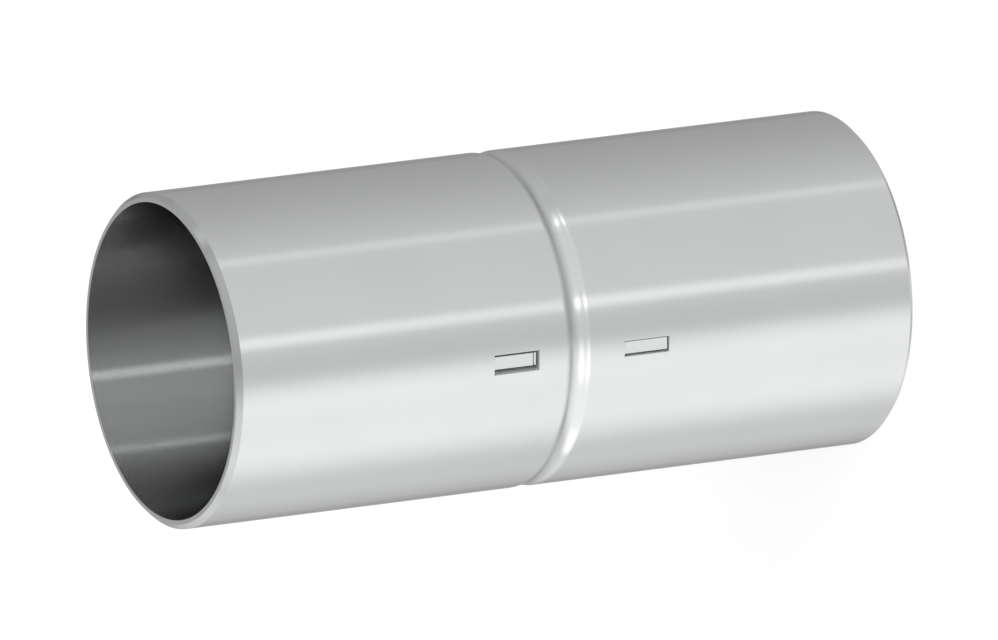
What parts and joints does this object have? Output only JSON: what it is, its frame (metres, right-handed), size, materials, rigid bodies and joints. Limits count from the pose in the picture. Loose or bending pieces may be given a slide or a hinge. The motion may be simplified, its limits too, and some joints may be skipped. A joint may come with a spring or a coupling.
{
  "type": "pipe coupler",
  "caption": "Push-in sheet-steel sleeve that joins conduit ends in line, with a rolled stop bead round its middle and a lanced tongue in each socket.",
  "frame": {"origin": "middle of the lower mouth, on the sleeve's axis, in the plane that it stands on", "axes": "+Z along the sleeve's axis towards the upper mouth, -Y out through the lanced tongues, +X to the right of the tongues seen from in front"},
  "size_m": [0.0214, 0.0214, 0.0483],
  "materials": {
    "zinc_plated_steel": "bright zinc-plated sheet steel, satin"
  },
  "bodies": {
    "root": {"coupler_sleeve": "zinc_plated_steel"}
  },
  "joints": []
}
